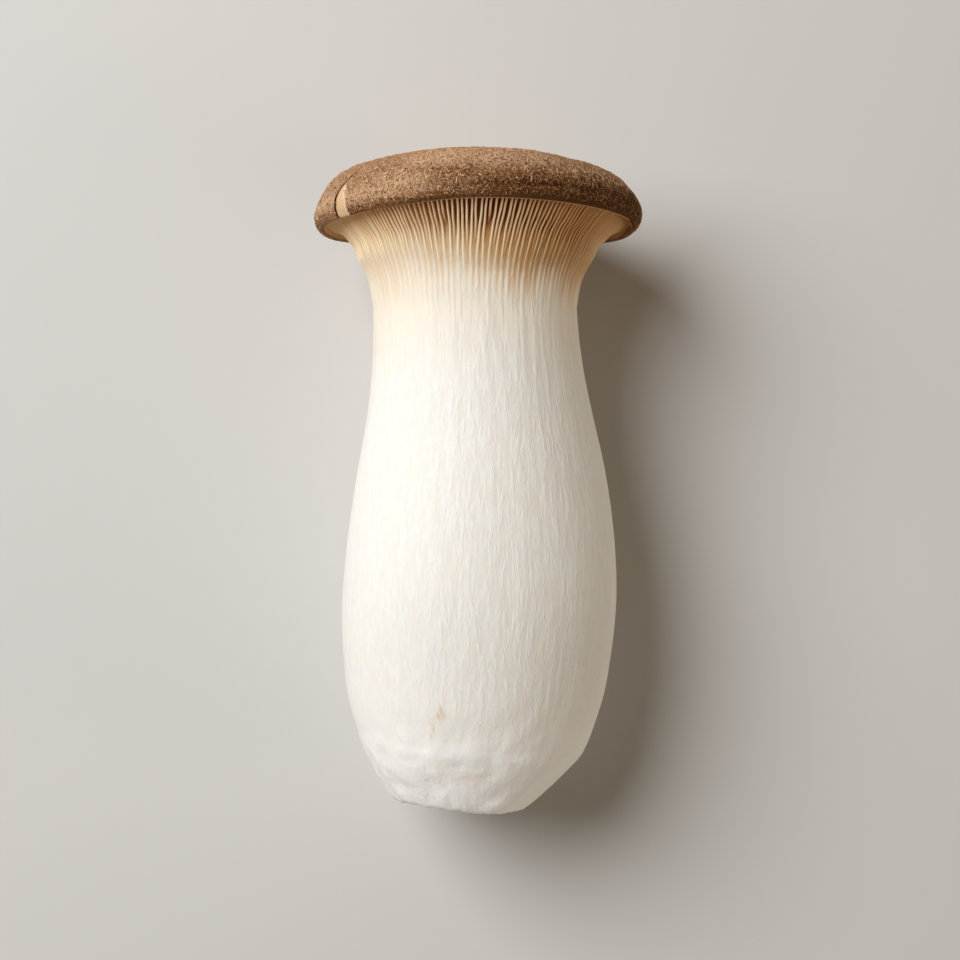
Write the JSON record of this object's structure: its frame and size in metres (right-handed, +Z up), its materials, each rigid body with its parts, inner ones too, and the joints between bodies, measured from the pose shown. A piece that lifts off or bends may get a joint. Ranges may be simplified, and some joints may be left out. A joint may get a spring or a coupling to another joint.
{
  "type": "king oyster mushroom",
  "caption": "Whole king oyster mushroom lying on its side: barrel-shaped white stem, flared gills and a low rounded brown cap.",
  "frame": {"origin": "centre of the bounding box in X and Y, on the surface that the mushroom lies on", "axes": "+Y along the stem towards the cap, +Z up, +X to the right with the root end nearest"},
  "size_m": [0.0664, 0.1334, 0.0628],
  "materials": {
    "stem_flesh": "matt off-white, finely fibrous",
    "gills": "matt cream to tan blades",
    "cap_skin": "matt velvety brown skin"
  },
  "bodies": {
    "root": {"mushroom": "stem_flesh"}
  },
  "joints": []
}
